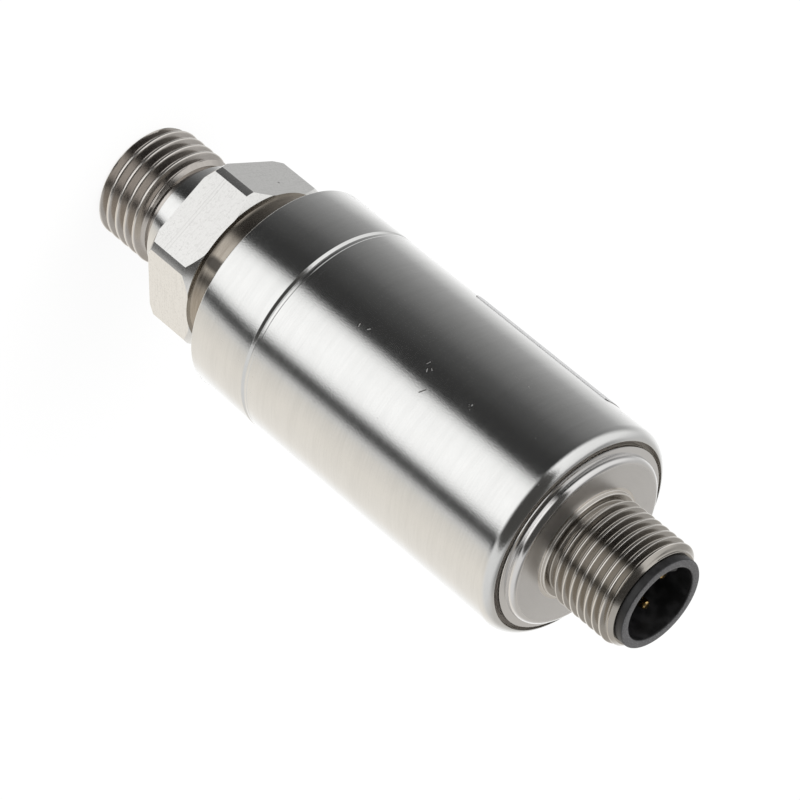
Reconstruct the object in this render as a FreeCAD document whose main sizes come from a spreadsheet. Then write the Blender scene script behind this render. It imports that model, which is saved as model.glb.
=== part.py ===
"""Pressure transmitter: a turned process connection with a hexagon and a G 1/4 port, a ceramic
measuring cell, a tubular housing with its electronics, and an end cap with an M12 plug connector.

Millimetres. The origin is the centre of the port's end face and +Z runs along the axis, from the
port to the connector. One flat of the hexagon faces -Y. Threads are plain cylinders at their
major diameter.
"""

import FreeCAD
import Part
import Sketcher

import math
import os

from FreeCAD import Vector

# Driving dimensions, each written once.
SIZES = {
    # process connection, from the port's tip upwards
    "port_length": 11.3,
    "port_thread_diameter": 13.157,
    "port_tip_chamfer": 0.45,
    "port_undercut_diameter": 11.3,
    "port_undercut_length": 1.05,
    "port_collar_diameter": 12.9,
    "port_collar_length": 3.4,
    "port_bore_diameter": 4.5,
    "hex_across_flats": 18.0,
    "hex_corner_diameter": 20.5,
    "hex_length": 6.1,
    "hex_front_chamfer": 0.5,
    "hex_rear_chamfer": 0.8,
    "hex_sides": 6,
    "neck_diameter": 17.4,
    "neck_length": 3.9,
    "neck_fillet": 0.5,
    "body_diameter": 24.0,
    "shoulder_length": 7.75,
    "rim_chamfer": 0.15,
    "seam_gap": 0.45,
    "seam_depth": 0.4,
    "spigot_length": 6.2,
    # measuring cell and what holds it
    "spigot_wall": 2.05,
    "cell_height": 6.3,
    "cell_edge_chamfer": 0.3,
    "cell_notch_diameter": 1.6,
    "cell_notches": 3,
    "cell_pocket_depth": 11.4,
    "chamber_diameter": 9.2,
    "chamber_depth": 0.4,
    "cell_seal_inner_diameter": 10.8,
    "cell_seal_width": 2.0,
    "cell_seal_depth": 1.3,
    "retaining_ring_height": 2.4,
    "retaining_ring_width": 2.75,
    "spanner_slot_width": 2.0,
    "spanner_slot_depth": 1.2,
    "spanner_slots": 2,
    # housing sleeve
    "sleeve_wall": 0.8,
    "sleeve_length": 35.2,
    "lip_reach": 1.0,
    "lip_thickness": 0.6,
    "lip_round": 1.4,
    # end cap with the connector's threaded stub
    "flange_length": 4.1,
    "flange_chamfer": 0.3,
    "lip_gap": 0.5,
    "ledge_rise": 0.2,
    "ledge_chamfer": 0.1,
    "ledge_width": 0.75,
    "plate_height": 0.95,
    "plate_round": 0.65,
    "cap_top_wall": 1.55,
    "cap_side_wall": 2.65,
    "stub_thread_diameter": 12.0,
    "stub_length": 9.2,
    "stub_tip_chamfer": 0.65,
    "base_ring_diameter": 12.2,
    "base_ring_height": 0.45,
    "relief_diameter": 10.6,
    "relief_length": 0.55,
    "stub_bore": 9.7,
    # connector insert and contacts
    "insert_collar_diameter": 10.3,
    "insert_collar_height": 0.94,
    "insert_collar_chamfer": 0.12,
    "socket_diameter": 8.4,
    "socket_depth": 9.2,
    "key_width": 1.5,
    "key_reach": 0.95,
    "key_recess": 0.7,
    "key_clock_angle": 205.0,
    "contact_count": 4,
    "contact_circle": 5.0,
    "contact_diameter": 1.0,
    "contact_tip_recess": 2.14,
    "contact_tip_chamfer": 0.25,
    "contact_tail_diameter": 0.8,
    "contact_tail_length": 0.7,
    "clip_width": 1.9,
    "clip_thickness": 0.8,
    "clip_groove_depth": 0.5,
    "clip_gap_angle": 40.0,
    # rubber seals, as squeezed in their grooves
    "seal_groove_length": 2.0,
    "seal_groove_depth": 1.1,
    "seal_length": 1.7,
    "seal_corner": 0.3,
    "insert_seal_length": 1.2,
    "insert_seal_depth": 0.85,
    # electronics
    "connector_board_gap": 0.2,
    "connector_board_thickness": 1.0,
    "connector_board_depth": 0.4,
    "board_edge_inset": 0.75,
    "board_thickness": 1.2,
    "board_foot_gap": 1.5,
    "board_tab_width": 3.0,
    "board_tab_height": 2.2,
    "holder_wall": 1.2,
    "flex_width": 6.0,
    "flex_thickness": 0.15,
    "flex_bend": 1.2,
    "flex_foot_inset": 1.1,
    "flex_overlap": 4.5,
    # parts soldered to the main board: widths across it, insets from its edges, lengths up it
    "signal_chip_side": 6.0,
    "signal_chip_thickness": 1.0,
    "signal_chip_up": 7.0,
    "output_chip_width": 5.0,
    "output_chip_length": 4.0,
    "output_chip_thickness": 1.5,
    "output_chip_up": 15.5,
    "suppressor_width": 2.6,
    "suppressor_length": 4.4,
    "suppressor_thickness": 2.2,
    "suppressor_inset": 5.4,
    "suppressor_up": 15.5,
    "tantalum_width": 2.8,
    "tantalum_length": 3.5,
    "tantalum_thickness": 1.9,
    "tantalum_inset": 5.4,
    "tantalum_up": 14.5,
    "small_part_width": 1.6,
    "small_part_length": 0.9,
    "small_part_inset": 3.9,
    "small_part_first": 5.0,
    "small_part_pitch": 3.0,
    "small_part_rows": 4,
    "capacitor_thickness": 0.8,
    "resistor_thickness": 0.5,
    # clearances
    "sliding_clearance": 0.05,
    "board_clearance": 0.1,
    # name plate film
    "label_length": 18.7,
    "label_width": 30.0,
    "label_thickness": 0.08,
    "label_corner": 2.0,
    "label_blank": 1.0,
    "label_above_foot": 10.75,
    "label_clock_angle": 122.0,
}

# Heights above the port's tip and other values that follow from the driving dimensions.
LEVELS = {
    "hex_face": "Sizes.port_length",
    "hex_back": "hex_face + Sizes.hex_length",
    "rim": "hex_back + Sizes.neck_length",
    "seam": "rim + Sizes.shoulder_length",
    "sleeve_foot": "seam + Sizes.seam_gap",
    "spigot_top": "sleeve_foot + Sizes.spigot_length",
    "cell_floor": "spigot_top - Sizes.cell_pocket_depth",
    "cell_top": "cell_floor + Sizes.cell_height",
    "ring_top": "cell_top + Sizes.retaining_ring_height",
    "lip_top": "sleeve_foot + Sizes.sleeve_length",
    "flange_top": "lip_top - Sizes.lip_thickness",
    "flange_foot": "flange_top - Sizes.flange_length",
    "ledge": "lip_top + Sizes.ledge_rise",
    "plate": "ledge + Sizes.plate_height",
    "cap_ceiling": "plate - Sizes.cap_top_wall",
    "stub_end": "plate + Sizes.stub_length",
    "socket_mouth": "stub_end + Sizes.insert_collar_height",
    "socket_floor": "socket_mouth - Sizes.socket_depth",
    "connector_board_top": "connector_board_foot + Sizes.connector_board_thickness",
    "connector_board_foot": "flange_foot - Sizes.connector_board_depth",
    "board_foot": "spigot_top + Sizes.board_foot_gap",
    "board_shoulder": "connector_board_top - Sizes.board_tab_height",
    "sleeve_bore": "Sizes.body_diameter - 2 * Sizes.sleeve_wall",
    "spigot_diameter": "sleeve_bore - 2 * Sizes.sliding_clearance",
    "cell_pocket": "spigot_diameter - 2 * Sizes.spigot_wall",
    "cell_diameter": "cell_pocket - 2 * Sizes.board_clearance",
    "ring_diameter": "cell_pocket - 2 * Sizes.sliding_clearance",
    "ring_bore": "ring_diameter - 2 * Sizes.retaining_ring_width",
    "lip_mouth": "Sizes.body_diameter - 2 * Sizes.lip_reach",
    "ledge_diameter": "lip_mouth - 2 * Sizes.lip_gap",
    "plate_diameter": "ledge_diameter - 2 * Sizes.ledge_width",
    "cap_counterbore": "spigot_diameter - 2 * Sizes.cap_side_wall",
    "connector_board_diameter": "cap_counterbore - 2 * Sizes.connector_board_gap",
    "board_width": "spigot_diameter - 2 * Sizes.board_edge_inset",
    "label_start": "sleeve_foot + Sizes.label_above_foot",
}

# The key lies on the connector pieces' own +Y axis, so this turns it to its clock angle.
KEY_TURN = "#key_clock_angle - 90"


def level(text):
    """An expression that names values of both sheets: plain words are those of Levels."""
    for name in LEVELS:
        text = text.replace("@" + name, "Levels." + name)
    return text.replace("#", "Sizes.")


class Transmitter:
    """The parametric document and the sub-parts made in it."""

    def __init__(self):
        self.doc = FreeCAD.newDocument("PressureTransmitter")
        self.sizes = self.sheet("Sizes", {name: str(value) for name, value in SIZES.items()})
        self.doc.recompute()
        self.levels = self.sheet("Levels", {name: "=" + text for name, text in LEVELS.items()})
        self.doc.recompute()
        self.parts = []

    def sheet(self, name, cells):
        """A spreadsheet with a name in column A and the value, under that alias, in column B."""
        sheet = self.doc.addObject("Spreadsheet::Sheet", name)
        for row, (alias, text) in enumerate(cells.items(), start=1):
            sheet.set(f"A{row}", alias)
            sheet.set(f"B{row}", text)
            sheet.setAlias(f"B{row}", alias)
        return sheet

    def value(self, text):
        """The number that an expression gives now."""
        return float(self.sizes.evalExpression(level(text)))

    def body(self, label):
        """A new PartDesign body, kept as a sub-part under its label."""
        body = self.doc.addObject("PartDesign::Body", label)
        body.Label = label
        self.parts.append(body)
        return body

    def keep(self, piece, label):
        """Keep an object that isn't a body as a sub-part."""
        piece.Label = label
        self.parts.append(piece)
        return piece

    def bind(self, piece, **expressions):
        """Bind properties of an object to expressions; a double underscore stands for a dot."""
        for name, text in expressions.items():
            piece.setExpression(name.replace("__", "."), level(text))
        return piece

    def sketch(self, body, name, plane, height=None):
        """An empty sketch on one of the body's own origin planes, raised to a height."""
        sketch = body.newObject("Sketcher::SketchObject", name)
        origin = [item for item in body.Origin.OriginFeatures if item.Role == plane][0]
        sketch.AttachmentSupport = [(origin, "")]
        sketch.MapMode = "FlatFace"
        if height is not None:
            sketch.setExpression("AttachmentOffset.Base.z", level(height))
        return sketch

    def outline(self, body, name, corners, plane="XZ_Plane", height=None):
        """A closed sketch through corners given as (across, up) expressions.

        A third entry is the radius of an arc from that corner to the next, with its centre on
        the left of the way from one to the other.
        """
        sketch = self.sketch(body, name, plane, height)
        points = [Vector(self.value(corner[0]), self.value(corner[1]), 0) for corner in corners]
        starts, ends = [], []
        for index, corner in enumerate(corners):
            here, there = points[index], points[(index + 1) % len(points)]
            if len(corner) == 3:
                sketch.addGeometry(arc_between(here, there, self.value(corner[2])), False)
                radius = sketch.addConstraint(
                    Sketcher.Constraint("Radius", index, self.value(corner[2])))
                sketch.setExpression(f"Constraints[{radius}]", level(corner[2]))
            else:
                sketch.addGeometry(Part.LineSegment(here, there), False)
            starts.append((index, 1))
            ends.append((index, 2))
        for index in range(len(corners)):
            following = (index + 1) % len(corners)
            sketch.addConstraint(
                Sketcher.Constraint("Coincident", *ends[index], *starts[following]))
        for index, corner in enumerate(corners):
            before = corners[index - 1] if index else None
            straight = before is not None and len(before) == 2
            self.pin(sketch, index, corner[0], straight and corner[0] == before[0],
                     "Vertical", "DistanceX", -2, points[index].x)
            self.pin(sketch, index, corner[1], straight and corner[1] == before[1],
                     "Horizontal", "DistanceY", -1, points[index].y)
        return sketch

    def pin(self, sketch, index, text, aligned, line_kind, distance_kind, axis, value):
        """Hold one coordinate of a corner: by the line before it, an axis or a dimension."""
        if aligned:
            sketch.addConstraint(Sketcher.Constraint(line_kind, index - 1))
        elif text == "0":
            sketch.addConstraint(Sketcher.Constraint("PointOnObject", index, 1, axis))
        else:
            number = sketch.addConstraint(
                Sketcher.Constraint(distance_kind, -1, 1, index, 1, value))
            sketch.setExpression(f"Constraints[{number}]", level(text))

    def circle(self, body, name, radius, across="0", up="0", plane="XY_Plane", height=None):
        """A sketch of one circle."""
        sketch = self.sketch(body, name, plane, height)
        centre = Vector(self.value(across), self.value(up), 0)
        sketch.addGeometry(Part.Circle(centre, Vector(0, 0, 1), self.value(radius)), False)
        number = sketch.addConstraint(Sketcher.Constraint("Radius", 0, self.value(radius)))
        sketch.setExpression(f"Constraints[{number}]", level(radius))
        for text, kind, axis, place in ((across, "DistanceX", -2, centre.x),
                                        (up, "DistanceY", -1, centre.y)):
            if text == "0":
                sketch.addConstraint(Sketcher.Constraint("PointOnObject", 0, 3, axis))
            else:
                number = sketch.addConstraint(Sketcher.Constraint(kind, -1, 1, 0, 3, place))
                sketch.setExpression(f"Constraints[{number}]", level(text))
        return sketch

    def mirrored(self, body, name, corners, plane="XY_Plane", height=None):
        """A closed sketch, symmetric about its upright axis, from its right-hand corners."""
        sketch = self.sketch(body, name, plane, height)
        right = [Vector(self.value(across), self.value(up), 0) for across, up in corners]
        points = right + [Vector(-corner.x, corner.y, 0) for corner in reversed(right)]
        total = len(points)
        for index, point in enumerate(points):
            sketch.addGeometry(Part.LineSegment(point, points[(index + 1) % total]), False)
        for index in range(total):
            sketch.addConstraint(
                Sketcher.Constraint("Coincident", index, 2, (index + 1) % total, 1))
        for index, (across, up) in enumerate(corners):
            mirror = total - 1 - index
            sketch.addConstraint(Sketcher.Constraint("Symmetric", mirror, 1, index, 1, -2))
            wide = sketch.addConstraint(
                Sketcher.Constraint("DistanceX", mirror, 1, index, 1, 2 * right[index].x))
            sketch.setExpression(f"Constraints[{wide}]", level(f"2 * ({across})"))
            self.pin(sketch, index, up, False, "Horizontal", "DistanceY", -1, right[index].y)
        return sketch

    def feature(self, body, kind, name, sketch, **settings):
        """A PartDesign feature of a sketch."""
        feature = body.newObject("PartDesign::" + kind, name)
        feature.Profile = sketch
        for key, setting in settings.items():
            setattr(feature, key, setting)
        sketch.Visibility = False
        return feature

    def turned(self, body, name, corners, angle=None, kind="Revolution"):
        """A section turned about the axis, added or cut away."""
        sketch = self.outline(body, name + "Section", corners)
        feature = self.feature(body, kind, name, sketch, ReferenceAxis=(sketch, ["V_Axis"]))
        if angle is None:
            feature.Angle = 360
        else:
            self.bind(feature, Angle=angle)
        self.doc.recompute()
        return feature

    def pattern(self, body, name, feature, count):
        """Repeat a feature round the body's axis."""
        pattern = body.newObject("PartDesign::PolarPattern", name)
        pattern.Originals = [feature]
        axis = [item for item in body.Origin.OriginFeatures if item.Role == "Z_Axis"][0]
        pattern.Axis = (axis, [""])
        pattern.Angle = 360
        self.bind(pattern, Occurrences=count)
        body.Tip = pattern
        self.doc.recompute()
        return pattern

    def rounded(self, body, name, edges, radius):
        """Round the named edges of the body's last feature."""
        feature = body.newObject("PartDesign::Fillet", name)
        feature.Base = (feature.BaseFeature, edges)
        self.bind(feature, Radius=radius)
        body.Tip = feature
        self.doc.recompute()
        return feature

    def seal_ring(self, label, inner, outer, low, high):
        """A rubber ring squeezed between two walls: a turned rectangle with its corners cut."""
        body = self.body(label)
        corner = f"(#seal_corner * min({outer} - ({inner}); {high} - ({low})))"
        self.turned(body, "Ring", [
            (f"{inner} + {corner}", low),
            (f"{outer} - {corner}", low),
            (outer, f"{low} + {corner}"),
            (outer, f"{high} - {corner}"),
            (f"{outer} - {corner}", high),
            (f"{inner} + {corner}", high),
            (inner, f"{high} - {corner}"),
            (inner, f"{low} + {corner}"),
        ])
        return body


def arc_between(here, there, radius):
    """An arc from one point to another, anticlockwise, with its centre on the left."""
    chord = there.sub(here)
    middle = here.add(there).multiply(0.5)
    left = Vector(-chord.y, chord.x, 0).normalize()
    reach = math.sqrt(max(radius ** 2 - (chord.Length / 2) ** 2, 0))
    centre = middle.add(left.multiply(reach))
    first = math.atan2(here.y - centre.y, here.x - centre.x)
    last = math.atan2(there.y - centre.y, there.x - centre.x)
    return Part.ArcOfCircle(Part.Circle(centre, Vector(0, 0, 1), radius), first, last)


def make_process_connection(t):
    """Turned from bar: threaded port, hexagon, neck, shoulder, and the spigot with the cell pocket."""
    body = t.body("process_connection")
    thread, collar = "#port_thread_diameter / 2", "#port_collar_diameter / 2"
    undercut, corner = "#port_undercut_diameter / 2", "#hex_corner_diameter / 2"
    neck, rim = "#neck_diameter / 2", "#body_diameter / 2"
    seam = "#body_diameter / 2 - #seam_depth"
    spigot, pocket = "@spigot_diameter / 2", "@cell_pocket / 2"
    bore, chamber = "#port_bore_diameter / 2", "#chamber_diameter / 2"
    collar_foot = "@hex_face - #port_collar_length"
    undercut_foot = "@hex_face - #port_collar_length - #port_undercut_length"
    t.turned(body, "Turned", [
        (bore, "0"),
        (f"{thread} - #port_tip_chamfer", "0"),
        (thread, "#port_tip_chamfer"),
        (thread, undercut_foot),
        (undercut, undercut_foot),
        (undercut, collar_foot),
        (collar, collar_foot),
        (collar, "@hex_face"),
        (f"{corner} - #hex_front_chamfer", "@hex_face"),
        (corner, "@hex_face + #hex_front_chamfer"),
        (corner, "@hex_back - #hex_rear_chamfer"),
        (f"{corner} - #hex_rear_chamfer", "@hex_back"),
        (f"{neck} + #neck_fillet", "@hex_back"),
        (neck, "@hex_back + #neck_fillet"),
        (neck, "@rim"),
        (f"{rim} - #rim_chamfer", "@rim"),
        (rim, "@rim + #rim_chamfer"),
        (rim, "@seam"),
        (seam, "@seam"),
        (seam, "@sleeve_foot"),
        (spigot, "@sleeve_foot"),
        (spigot, "@spigot_top"),
        (pocket, "@spigot_top"),
        (pocket, "@cell_floor"),
        (chamber, "@cell_floor"),
        (chamber, "@cell_floor - #chamber_depth"),
        (bore, "@cell_floor - #chamber_depth"),
    ])
    seal_in = "#cell_seal_inner_diameter / 2"
    t.turned(body, "CellSealGroove", [
        (seal_in, "@cell_floor - #cell_seal_depth"),
        (f"{seal_in} + #cell_seal_width", "@cell_floor - #cell_seal_depth"),
        (f"{seal_in} + #cell_seal_width", "@cell_floor"),
        (seal_in, "@cell_floor"),
    ], kind="Groove")
    cut_seal_groove(t, body, "SleeveSealGroove", "@spigot_diameter / 2",
                    "@sleeve_foot + #spigot_length / 2")
    flat = t.mirrored(body, "FlatSketch", [("#hex_corner_diameter", "#hex_across_flats / 2"),
                                           ("#hex_corner_diameter", "#hex_corner_diameter")],
                      height="@hex_face")
    cut = t.feature(body, "Pocket", "Flat", flat, Reversed=True)
    t.bind(cut, Length="#hex_length")
    t.pattern(body, "Flats", cut, "#hex_sides")


def cut_seal_groove(t, body, name, wall, middle):
    """A groove round an outer wall for a seal ring."""
    low, high = f"{middle} - #seal_groove_length / 2", f"{middle} + #seal_groove_length / 2"
    floor, outside = f"{wall} - #seal_groove_depth", f"{wall} + #seal_groove_depth"
    t.turned(body, name, [(floor, low), (outside, low), (outside, high), (floor, high)],
             kind="Groove")


def make_measuring_cell(t):
    """The ceramic cell on its seal, and the ring that holds it down."""
    body = t.body("ceramic_sensor_cell")
    edge, chamfer = "@cell_diameter / 2", "#cell_edge_chamfer"
    t.turned(body, "Disc", [
        ("0", "@cell_floor"),
        (f"{edge} - {chamfer}", "@cell_floor"),
        (edge, f"@cell_floor + {chamfer}"),
        (edge, f"@cell_top - {chamfer}"),
        (f"{edge} - {chamfer}", "@cell_top"),
        ("0", "@cell_top"),
    ])
    notch = t.circle(body, "NotchSketch", "#cell_notch_diameter / 2", up=edge,
                     height="@cell_floor")
    cut = t.feature(body, "Pocket", "Notch", notch, Type="ThroughAll", Reversed=True)
    t.pattern(body, "Notches", cut, "#cell_notches")

    seal_in = "#cell_seal_inner_diameter / 2"
    t.seal_ring("cell_seal_ring", seal_in, f"{seal_in} + #cell_seal_width",
                "@cell_floor - #cell_seal_depth", "@cell_floor")

    ring = t.body("cell_retaining_ring")
    inner, outer = "@ring_bore / 2", "@ring_diameter / 2"
    t.turned(ring, "Ring", [(inner, "@cell_top"), (outer, "@cell_top"), (outer, "@ring_top"),
                            (inner, "@ring_top")])
    slot = t.mirrored(ring, "SlotSketch", [("#spanner_slot_width / 2", "0"),
                                           ("#spanner_slot_width / 2", "@cell_pocket")],
                      height="@ring_top")
    cut = t.feature(ring, "Pocket", "SpannerSlot", slot)
    t.bind(cut, Length="#spanner_slot_depth")
    t.pattern(ring, "SpannerSlots", cut, "#spanner_slots")


def make_housing_sleeve(t):
    """The tube that holds the electronics, its mouth rolled in over the end cap's flange."""
    body = t.body("housing_sleeve")
    rim, bore, lip = "#body_diameter / 2", "@sleeve_bore / 2", "@lip_mouth / 2"
    bulge = f"sqrt(#lip_round ^ 2 - (#lip_round - ({rim} - {lip})) ^ 2)"
    t.turned(body, "Tube", [
        (bore, "@sleeve_foot"),
        (rim, "@sleeve_foot"),
        (rim, f"@lip_top - {bulge}", "#lip_round"),
        (lip, "@lip_top"),
        (lip, "@flange_top"),
        (bore, "@flange_top"),
    ])
    wall = "@spigot_diameter / 2"
    middle = "@sleeve_foot + #spigot_length / 2"
    t.seal_ring("sleeve_seal_ring", f"{wall} - #seal_groove_depth", "@sleeve_bore / 2",
                f"{middle} - #seal_length / 2", f"{middle} + #seal_length / 2")


def make_connector_cap(t):
    """The end cap: flange under the lip, raised plate, and the connector's threaded stub."""
    body = t.body("connector_cap")
    flange, ledge, plate = "@spigot_diameter / 2", "@ledge_diameter / 2", "@plate_diameter / 2"
    base, relief = "#base_ring_diameter / 2", "#relief_diameter / 2"
    thread, bore = "#stub_thread_diameter / 2", "#stub_bore / 2"
    counterbore = "@cap_counterbore / 2"
    t.turned(body, "Turned", [
        (bore, "@cap_ceiling"),
        (counterbore, "@cap_ceiling"),
        (counterbore, "@flange_foot"),
        (f"{flange} - #flange_chamfer", "@flange_foot"),
        (flange, "@flange_foot + #flange_chamfer"),
        (flange, "@flange_top"),
        (ledge, "@flange_top"),
        (ledge, "@ledge - #ledge_chamfer"),
        (f"{ledge} - #ledge_chamfer", "@ledge"),
        (plate, "@ledge"),
        (plate, "@plate - #plate_round", "#plate_round"),
        (f"{plate} - #plate_round", "@plate"),
        (base, "@plate"),
        (base, "@plate + #base_ring_height"),
        (relief, "@plate + #base_ring_height"),
        (relief, "@plate + #base_ring_height + #relief_length"),
        (thread, "@plate + #base_ring_height + #relief_length"),
        (thread, "@stub_end - #stub_tip_chamfer"),
        (f"{thread} - #stub_tip_chamfer", "@stub_end"),
        (bore, "@stub_end"),
    ])
    middle = "@flange_foot + #flange_length / 2"
    cut_seal_groove(t, body, "CapSealGroove", flange, middle)
    t.seal_ring("cap_seal_ring", f"{flange} - #seal_groove_depth", "@sleeve_bore / 2",
                f"{middle} - #seal_length / 2", f"{middle} + #seal_length / 2")


def make_connector_insert(t):
    """The moulded insert with its socket and coding key, the clip behind it and its seal."""
    body = t.body("connector_insert")
    t.bind(body, Placement__Rotation__Angle=KEY_TURN)
    liner = "#stub_bore / 2 - #sliding_clearance"
    clip_in = f"{liner} - #clip_groove_depth"
    clip_foot = "@cap_ceiling - #clip_thickness"
    seal_in = "#stub_bore / 2 - #insert_seal_depth"
    seal_foot = "@cap_ceiling + #insert_seal_length / 2"
    seal_top = "@cap_ceiling + 3 * #insert_seal_length / 2"
    collar, chamfer = "#insert_collar_diameter / 2", "#insert_collar_chamfer"
    socket = "#socket_diameter / 2"
    t.turned(body, "Moulding", [
        ("0", "@connector_board_top"),
        (liner, "@connector_board_top"),
        (liner, clip_foot),
        (clip_in, clip_foot),
        (clip_in, "@cap_ceiling"),
        (liner, "@cap_ceiling"),
        (liner, seal_foot),
        (seal_in, seal_foot),
        (seal_in, seal_top),
        (liner, seal_top),
        (liner, "@stub_end"),
        (collar, "@stub_end"),
        (collar, f"@socket_mouth - {chamfer}"),
        (f"{collar} - {chamfer}", "@socket_mouth"),
        (f"{socket} + {chamfer}", "@socket_mouth"),
        (socket, f"@socket_mouth - {chamfer}"),
        (socket, "@socket_floor"),
        ("0", "@socket_floor"),
    ])
    key = t.mirrored(body, "KeySketch", [("#key_width / 2", f"{socket} - #key_reach"),
                                         ("#key_width / 2", f"{socket} + {chamfer}")],
                     height="@socket_floor")
    rib = t.feature(body, "Pad", "Key", key)
    t.bind(rib, Length="#socket_depth - #key_recess")
    t.doc.recompute()
    place = "#contact_circle / 2 * cos(180 / #contact_count)"
    rise = "#contact_circle / 2 * sin(180 / #contact_count)"
    hole = t.circle(body, "HoleSketch", "#contact_diameter / 2", rise, place,
                    height="@connector_board_top")
    cut = t.feature(body, "Pocket", "ContactHole", hole, Reversed=True)
    t.bind(cut, Length="@socket_floor - @connector_board_top")
    t.pattern(body, "ContactHoles", cut, "#contact_count")

    clip = t.body("insert_clip")
    t.bind(clip, Placement__Rotation__Angle=KEY_TURN)
    t.turned(clip, "Ring", [(clip_in, clip_foot), (f"{clip_in} + #clip_width", clip_foot),
                            (f"{clip_in} + #clip_width", "@cap_ceiling"),
                            (clip_in, "@cap_ceiling")], angle="360 - #clip_gap_angle")
    t.seal_ring("insert_seal_ring", seal_in, "#stub_bore / 2", seal_foot, seal_top)


def make_contacts(t):
    """The gold-plated contact pins, evenly round the key."""
    pin, tail = "#contact_diameter / 2", "#contact_tail_diameter / 2"
    foot = "@connector_board_foot - #contact_tail_length"
    tip = "@socket_mouth - #contact_tip_recess"
    for number in range(1, SIZES["contact_count"] + 1):
        body = t.body(f"contact_pin_{number}")
        angle = f"(#key_clock_angle + 360 * ({number} - 0.5) / #contact_count)"
        t.bind(body, Placement__Base__x=f"#contact_circle / 2 * cos({angle})",
               Placement__Base__y=f"#contact_circle / 2 * sin({angle})")
        t.turned(body, "Pin", [
            ("0", foot),
            (tail, foot),
            (tail, "@connector_board_top"),
            (pin, "@connector_board_top"),
            (pin, f"{tip} - #contact_tip_chamfer", "#contact_tip_chamfer"),
            (f"{pin} - #contact_tip_chamfer", tip),
            ("0", tip),
        ])


def make_boards(t):
    """The connector's round board, the main board, its insulating holder and the flex strip."""
    disc = t.body("connector_board")
    t.bind(disc, Placement__Rotation__Angle=KEY_TURN)
    round_sketch = t.circle(disc, "DiscSketch", "@connector_board_diameter / 2",
                            height="@connector_board_foot")
    t.bind(t.feature(disc, "Pad", "Disc", round_sketch), Length="#connector_board_thickness")
    t.doc.recompute()
    place = "#contact_circle / 2 * cos(180 / #contact_count)"
    rise = "#contact_circle / 2 * sin(180 / #contact_count)"
    hole = t.circle(disc, "HoleSketch", "#contact_tail_diameter / 2", rise, place,
                    height="@connector_board_foot")
    cut = t.feature(disc, "Pocket", "Hole", hole, Type="ThroughAll", Reversed=True)
    t.pattern(disc, "Holes", cut, "#contact_count")
    half_long, half_wide = "#board_tab_width / 2 + #board_clearance", "#board_thickness / 2"
    slot = t.mirrored(disc, "SlotSketch", centred(half_long, f"{half_wide} + #board_clearance / 2"),
                      height="@connector_board_foot")
    slot.setExpression("AttachmentOffset.Rotation.Angle", level(f"-({KEY_TURN})"))
    t.feature(disc, "Pocket", "TabSlot", slot, Type="ThroughAll", Reversed=True)

    board = t.body("main_circuit_board")
    half, tab = "@board_width / 2", "#board_tab_width / 2"
    outline = t.mirrored(board, "Outline", [
        (half, "@board_foot"),
        (half, "@board_shoulder"),
        (tab, "@board_shoulder"),
        (tab, "@connector_board_top"),
    ], plane="XZ_Plane")
    t.bind(t.feature(board, "Pad", "Board", outline, Midplane=True), Length="#board_thickness")

    holder = t.body("board_holder")
    outer = "@spigot_diameter / 2"
    inner = f"{outer} - #holder_wall"
    t.turned(holder, "Tube", [(inner, "@spigot_top"), (outer, "@spigot_top"),
                              (outer, "@flange_foot"), (inner, "@flange_foot")])
    groove = t.mirrored(holder, "GrooveSketch",
                        centred("@board_width / 2 + #board_clearance",
                                "#board_thickness / 2 + #board_clearance"),
                        height="@board_foot")
    t.feature(holder, "Pocket", "BoardGrooves", groove, Type="ThroughAll", Reversed=True)

    flex = t.body("sensor_flex_strip")
    face = "#board_thickness / 2"
    film, bend = "#flex_thickness", "#flex_bend"
    foot_end = "@ring_bore / 2 - #flex_foot_inset"
    strip = t.outline(flex, "StripSection", [
        (f"{face} + {film}", f"@cell_top + {bend}"),
        (f"{face} + {film}", f"@board_foot + #flex_overlap"),
        (face, f"@board_foot + #flex_overlap"),
        (face, f"@cell_top + {bend}", f"{bend}"),
        (f"{face} + {bend}", "@cell_top"),
        (foot_end, "@cell_top"),
        (foot_end, f"@cell_top + {film}"),
        (f"{face} + {bend}", f"@cell_top + {film}"),
    ], plane="YZ_Plane")
    t.bind(t.feature(flex, "Pad", "Strip", strip, Midplane=True), Length="#flex_width")


def centred(half_across, half_up):
    """Right-hand corners of a rectangle centred on the origin."""
    return [(half_across, f"-({half_up})"), (half_across, half_up)]


def make_components(t):
    """Chips and small parts soldered to the main board; each box lies on one of its faces."""
    front, back = -1, 1
    single = {
        # label: (side, across, up from the board's foot, width, length, thickness)
        "signal_chip": (front, "0", "#signal_chip_up", "#signal_chip_side",
                        "#signal_chip_side", "#signal_chip_thickness"),
        "output_chip": (front, "0", "#output_chip_up", "#output_chip_width",
                        "#output_chip_length", "#output_chip_thickness"),
        "surge_suppressor": (back, "#suppressor_inset - @board_width / 2", "#suppressor_up",
                             "#suppressor_width", "#suppressor_length", "#suppressor_thickness"),
        "tantalum_capacitor": (back, "@board_width / 2 - #tantalum_inset", "#tantalum_up",
                               "#tantalum_width", "#tantalum_length", "#tantalum_thickness"),
    }
    for label, place in single.items():
        t.keep(component(t, label + "_block", *place), label)
    columns = {
        "ceramic_capacitors": ("@board_width / 2 - #small_part_inset", "#capacitor_thickness"),
        "chip_resistors": ("#small_part_inset - @board_width / 2", "#resistor_thickness"),
    }
    for label, (across, thickness) in columns.items():
        group = [component(t, f"{label}_{number}", front, across,
                           f"#small_part_first + {number} * #small_part_pitch",
                           "#small_part_width", "#small_part_length", thickness)
                 for number in range(SIZES["small_part_rows"])]
        compound = t.doc.addObject("Part::Compound", label + "_group")
        compound.Links = group
        t.keep(compound, label)


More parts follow.
